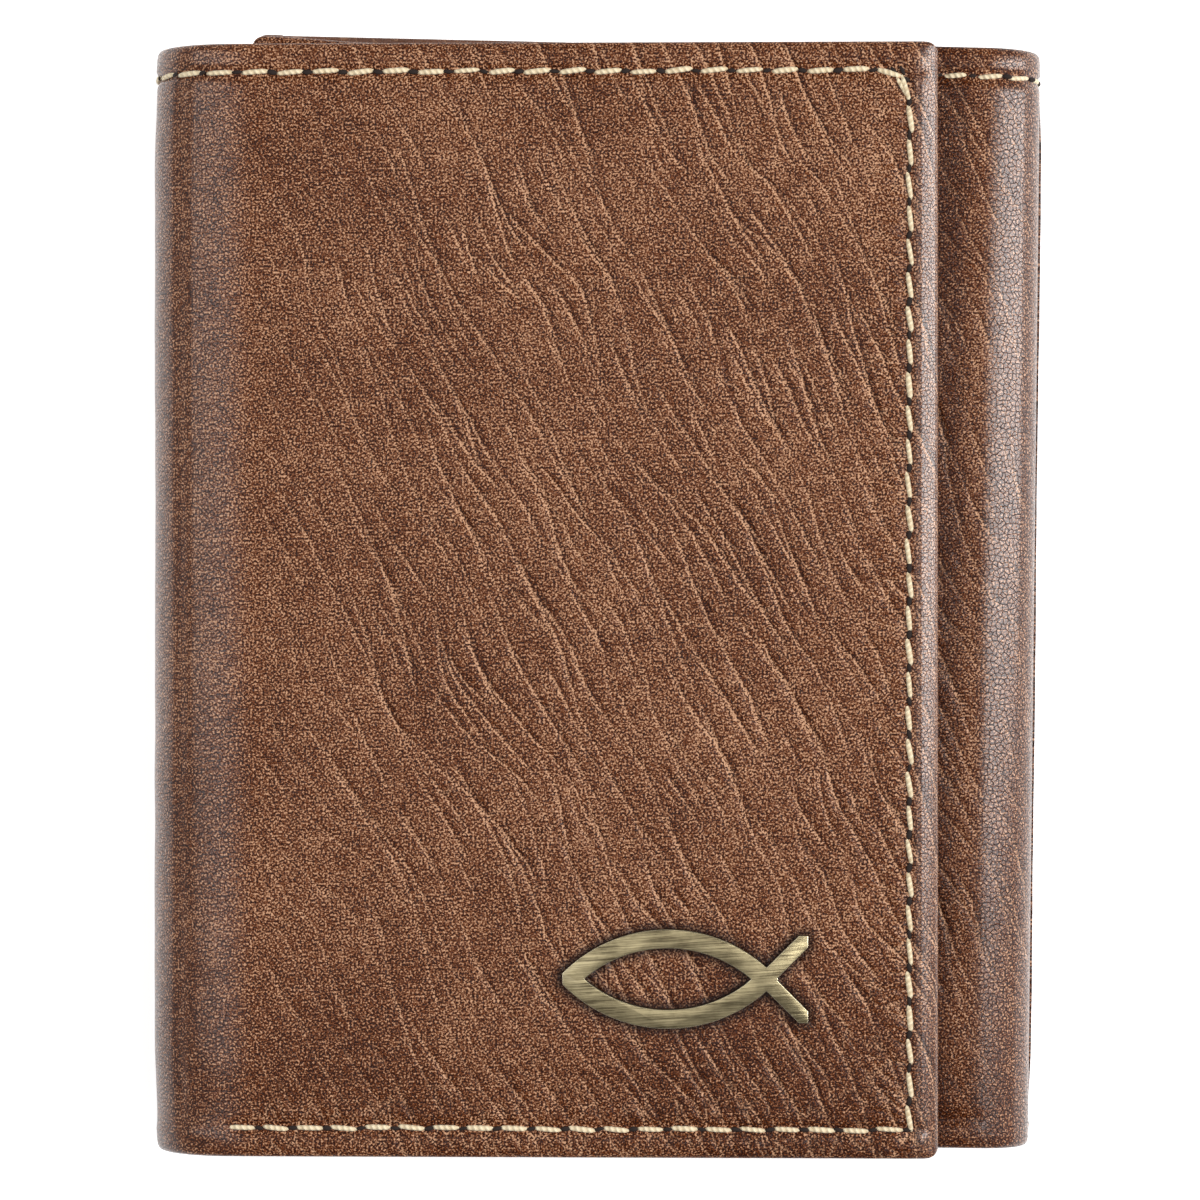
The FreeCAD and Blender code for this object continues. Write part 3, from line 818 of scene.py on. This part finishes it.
def hole_template():
    """Needle hole's shadow: a shallow lens as long as the gap between two stitches."""
    bpy.ops.object.select_all(action="DESELECT")
    bpy.ops.mesh.primitive_uv_sphere_add(segments=8, ring_count=4, radius=1.0)
    obj = bpy.context.object
    obj.data.uv_layers.active.name = UV_NAME
    bpy.ops.transform.resize(value=HOLE_SIZE)
    bpy.ops.object.transform_apply(scale=True)
    bpy.ops.object.shade_smooth()
    return obj


def copies(template, matrices, material):
    """A copy of a template at each place, each with its own mesh."""
    made = []
    for matrix in matrices:
        copy = template.copy()
        copy.data = template.data.copy()
        copy.data.transform(matrix)
        copy.data.materials.clear()
        copy.data.materials.append(material)
        bpy.context.collection.objects.link(copy)
        made.append(copy)
    return made


def joined(name, objects):
    bpy.ops.object.select_all(action="DESELECT")
    for obj in objects:
        obj.select_set(True)
    bpy.context.view_layer.objects.active = objects[0]
    bpy.ops.object.join()
    obj = bpy.context.object
    obj.name = obj.data.name = name
    return obj


def discard(*objects):
    for obj in objects:
        bpy.data.objects.remove(obj)


def even(start, stop, pitch):
    """Evenly spaced places from start to stop, about a pitch apart."""
    count = max(round(abs(stop - start) / pitch), 1)
    return [start + (stop - start) * i / count for i in range(count + 1)]


def sewn(name, nodes, frames, materials, sizes, slant, holes=True):
    """Rounded threads, and the needle holes between them, in place of the CAD stitches of some nodes."""
    chance = random.Random(name)
    stitch, hole = stitch_template(sizes.thread, STITCH_LENGTH), hole_template()
    stitches, pits = [], []
    for centre, along, across, out in frames:
        turn = Matrix.Rotation(math.radians(slant + chance.uniform(-3, 3)), 3, out)
        lie = Matrix((turn @ along, turn @ across, out)).transposed().to_4x4()
        scale = Matrix.Diagonal((chance.uniform(0.93, 1.03), chance.uniform(0.9, 1.1), 1.0, 1.0))
        spot = centre + across * chance.gauss(0, 0.05) * MM
        stitches.append(Matrix.Translation(spot) @ lie @ scale)
        pit = centre + along * HOLE_OFFSET - out * HOLE_SINK
        skewed = Matrix.Rotation(math.radians(chance.uniform(-15, 15)), 3, out)
        wide = Matrix.Diagonal((chance.uniform(0.8, 1.1), chance.uniform(0.8, 1.2), 1.0, 1.0))
        lie = Matrix((skewed @ along, skewed @ across, out)).transposed().to_4x4()
        pits.append(Matrix.Translation(pit) @ lie @ wide)
    made = copies(stitch, stitches, materials["thread"])
    if holes:
        made += copies(hole, pits, materials["hole"])
    discard(stitch, hole)
    obj = joined(name, made)
    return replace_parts(obj, *nodes)


def softened(node, name, width, material, body):
    """A CAD piece with its sharp edges rounded."""
    source = frame["nodes"][node]
    obj = source.copy()
    obj.data = source.data.copy()
    for key in list(obj.keys()):
        del obj[key]
    obj.parent = None
    obj.matrix_world = Matrix.Identity(4)
    obj.name = obj.data.name = name
    bpy.context.collection.objects.link(obj)
    only(obj)
    bpy.ops.object.mode_set(mode="EDIT")
    bpy.ops.mesh.select_all(action="SELECT")
    bpy.ops.mesh.remove_doubles(threshold=1e-6)
    bpy.ops.mesh.dissolve_limited(angle_limit=math.radians(0.5))
    bpy.ops.object.mode_set(mode="OBJECT")
    round_edges = obj.modifiers.new("rounding", "BEVEL")
    round_edges.width = width
    round_edges.segments = 3
    round_edges.limit_method = "ANGLE"
    round_edges.angle_limit = math.radians(35)
    bpy.ops.object.modifier_apply(modifier=round_edges.name)
    bpy.ops.object.shade_smooth_by_angle(angle=math.radians(40))
    obj.data.materials.clear()
    obj.data.materials.append(material)
    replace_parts(obj, node)
    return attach(obj, body)


materials = {}


class PaintsOperator(bpy.types.Operator):
    """Mix the leather, thread, brass, cloth and film"""

    bl_idname = "wallet.paints"
    bl_label = "Paints"

    def execute(self, context):
        colours, sizes = context.scene.wallet_colours, context.scene.wallet_sizes
        materials.update({
            "outer": outer_leather(colours, sizes), "inner": inner_leather(colours),
            "cloth": lining_cloth(colours), "board": stiff_board(colours), "thread": waxed_thread(colours),
            "hole": needle_hole(colours), "brass": aged_brass(colours), "film": clear_film(colours),
            "floor": floor_paint(colours),
        })
        carried = {
            "cloth": "_lining", "board": "_stiffener", "film": "_film", "brass": ("_posts", "_washers")}
        for key, endings in carried.items():
            for name, node in frame["nodes"].items():
                if name.endswith(endings):
                    node.data.materials.clear()
                    node.data.materials.append(materials[key])
        return {"FINISHED"}


class LeatherOperator(bpy.types.Operator):
    """Cut, hem and roll the four stretches of outer leather"""

    bl_idname = "wallet.leather"
    bl_label = "Outer leather"

    def execute(self, context):
        replaced = {
            "front_leather": ["front_cover", "left_fold_cover"], "back_leather": ["back_cover"],
            "right_fold_leather": ["right_fold_cover"], "inner_leather_outside": ["inner_cover"],
        }
        for name, (skin, first, second) in skins(context.scene.wallet_sizes).items():
            obj = skin.make(name, materials["outer"])
            if name == "front_leather":
                shade_round(obj, "fish_badge")
            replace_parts(obj, *replaced[name])
            bend_with(obj, skin.fold, first, second)
        return {"FINISHED"}


class ThreadsOperator(bpy.types.Operator):
    """Sew the rows of stitches"""

    bl_idname = "wallet.threads"
    bl_label = "Stitching"

    def execute(self, context):
        sizes = context.scene.wallet_sizes
        covers = skins(sizes)
        inset = sizes.stitch_inset
        top, bottom = sizes.height / 2 - inset, inset - sizes.height / 2

        def sew(name, nodes, frames, slant, holes=True):
            return sewn(name, nodes, frames, materials, sizes, slant, holes)

        def hem(name, cover, nodes, first, last, heading, extra=()):
            skin, *bodies = covers[cover]
            frames = [skin.seat(x, top, (heading, 0)) for x in even(first, last, STITCH_PITCH)]
            bend_with(sew(name, nodes, frames + list(extra), 5.0), skin.fold, *bodies)

        def row(name, cover, node, first, last, body):
            skin = covers[cover][0]
            heading = math.copysign(1.0, first - last) * -skin.fold.side
            frames = [skin.seat(x, bottom, (heading, 0)) for x in even(first, last, ROW_PITCH)]
            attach(sew(name, [node], frames, -4.0), body)

        def column(name, cover, node, body):
            skin = covers[cover][0]
            x = skin.end + inset * skin.fold.side * -1
            frames = [skin.seat(x, y, (0, 1)) for y in even(COLUMN_TOP, bottom + 1.1 * MM, COLUMN_PITCH)]
            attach(sew(name, [node], frames, 8.0), body)

        front, back = covers["front_leather"][0], covers["back_leather"][0]
        right, inner = covers["right_fold_leather"][0], covers["inner_leather_outside"][0]
        corner = [
            front.seat(front.end + inward, top - down, heading, depth)
            for inward, down, heading, depth in CORNER_STITCHES]
        hem("front_hem_thread", "front_leather", ["front_hem_stitching", "left_fold_stitching"],
            front.end + 7.9 * MM, front.start - 1.1 * MM, -1, corner)
        hem("back_hem_thread", "back_leather", ["back_hem_stitching"],
            back.start + 2.3 * MM, back.end - 2 * MM, -1)
        hem("right_fold_thread", "right_fold_leather", ["right_fold_stitching"],
            right.end + 1.4 * MM, right.start - 1.7 * MM, -1)
        hem("inner_hem_thread", "inner_leather_outside", ["inner_hem_stitching"],
            inner.start + 1.7 * MM, inner.end - 4.7 * MM, -1)
        row("front_bottom_thread", "front_leather", "front_bottom_stitching",
            front.end + 4.7 * MM, front.end + 67 * MM, "front_leaf")
        row("inner_bottom_thread", "inner_leather_outside", "inner_bottom_stitching",
            inner.end - 4.7 * MM, inner.end - 64 * MM, "inner_leaf")
        row("back_bottom_thread", "back_leather", "back_bottom_stitching",
            back.end - 3 * MM, sizes.left_x + 2 * MM, "back_leaf")
        column("front_edge_thread", "front_leather", "front_edge_stitching", "front_leaf")
        column("inner_edge_thread", "inner_leather_outside", "inner_edge_stitching", "inner_leaf")
        inside = (
            ("back_pocket_thread", "back_pocket_stitching", 1, "back_leaf"),
            ("inner_pocket_thread", "inner_pocket_stitching", -1, "inner_leaf"),
            ("window_thread", "id_window_stitching", -1, "front_leaf"),
        )
        for name, node, way, body in inside:
            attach(sew(name, [node], stitch_frames(node, way), 4.0, holes=False), body)
        return {"FINISHED"}


class InsidesOperator(bpy.types.Operator):
    """Round the edges of the pockets, walls, strips and window frame"""

    bl_idname = "wallet.insides"
    bl_label = "Pockets and walls"

    def execute(self, context):
        listed = frame["record"]["behaviour"]["bodies"]
        bodies = {node: body for body, nodes in listed.items() for node in nodes}
        for node, body in bodies.items():
            if node.endswith(("_bill_wall", "_strip", "_frame")) or "_card_pocket_" in node:
                softened(node, f"{node}_leather", WALL_ROUNDING, materials["inner"], body)
        return {"FINISHED"}


class BadgeOperator(bpy.types.Operator):
    """Bevel the fish-shaped badge"""

    bl_idname = "wallet.badge"
    bl_label = "Badge"

    def execute(self, context):
        softened("fish_badge", "badge_fish", BADGE_ROUNDING, materials["brass"], "front_leaf")
        return {"FINISHED"}


class StageOperator(bpy.types.Operator):
    """Lay the floor and set the lights and the camera"""

    bl_idname = "wallet.stage"
    bl_label = "Stage"

    def execute(self, context):
        scene = context.scene
        bpy.ops.object.select_all(action="DESELECT")
        bpy.ops.mesh.primitive_plane_add(size=FLOOR_SIZE, location=(0, 0, -FLOOR_DROP))
        floor = context.object
        floor.name = "floor"
        floor.data.materials.append(materials["floor"])
        for name, place, (width, depth), power in LAMPS:
            bpy.ops.object.light_add(type="AREA", location=place)
            lamp = context.object
            lamp.name = name
            lamp.data.shape = "RECTANGLE"
            lamp.data.size = width
            lamp.data.size_y = depth
            lamp.data.energy = power
            lamp.rotation_euler = (LAMP_TARGET - Vector(place)).to_track_quat("-Z", "Y").to_euler()
        world = bpy.data.worlds.new("studio")
        scene.world = world
        scene.view_settings.view_transform = "Standard"
        world.use_nodes = True
        background = world.node_tree.nodes["Background"]
        background.inputs["Color"].default_value = (1.0, 1.0, 1.0, 1.0)
        background.inputs["Strength"].default_value = WORLD_STRENGTH
        bpy.ops.object.camera_add(location=(0.0, 0.0, CAMERA_HEIGHT), rotation=(0.0, 0.0, 0.0))
        camera = context.object
        camera.data.sensor_width = SENSOR
        camera.data.lens = LENS
        camera.data.clip_start = 0.01
        scene.camera = camera
        return {"FINISHED"}


class WalletPanel(bpy.types.Panel):
    """Sizes, colours and pieces of the wallet"""

    bl_idname = "VIEW3D_PT_wallet"
    bl_label = "Trifold wallet"
    bl_space_type = "VIEW_3D"
    bl_region_type = "UI"
    bl_category = "Wallet"

    def draw(self, context):
        for group in (context.scene.wallet_sizes, context.scene.wallet_colours):
            box = self.layout.box()
            for key in group.__annotations__:
                box.prop(group, key)
        for operator in OPERATORS:
            self.layout.operator(operator.bl_idname)


OPERATORS = (
    PaintsOperator, LeatherOperator, ThreadsOperator, InsidesOperator, BadgeOperator, StageOperator,
)
CLASSES = (WalletSizes, WalletColours, *OPERATORS, WalletPanel)


def register():
    for cls in CLASSES:
        bpy.utils.register_class(cls)
    bpy.types.Scene.wallet_sizes = bpy.props.PointerProperty(type=WalletSizes)
    bpy.types.Scene.wallet_colours = bpy.props.PointerProperty(type=WalletColours)


def unregister():
    del bpy.types.Scene.wallet_sizes
    del bpy.types.Scene.wallet_colours
    for cls in reversed(CLASSES):
        bpy.utils.unregister_class(cls)


def main():
    register()
    bpy.ops.wallet.paints()
    bpy.ops.wallet.leather()
    bpy.ops.wallet.threads()
    bpy.ops.wallet.insides()
    bpy.ops.wallet.badge()
    bpy.ops.wallet.stage()


if __name__ == "__main__":
    main()
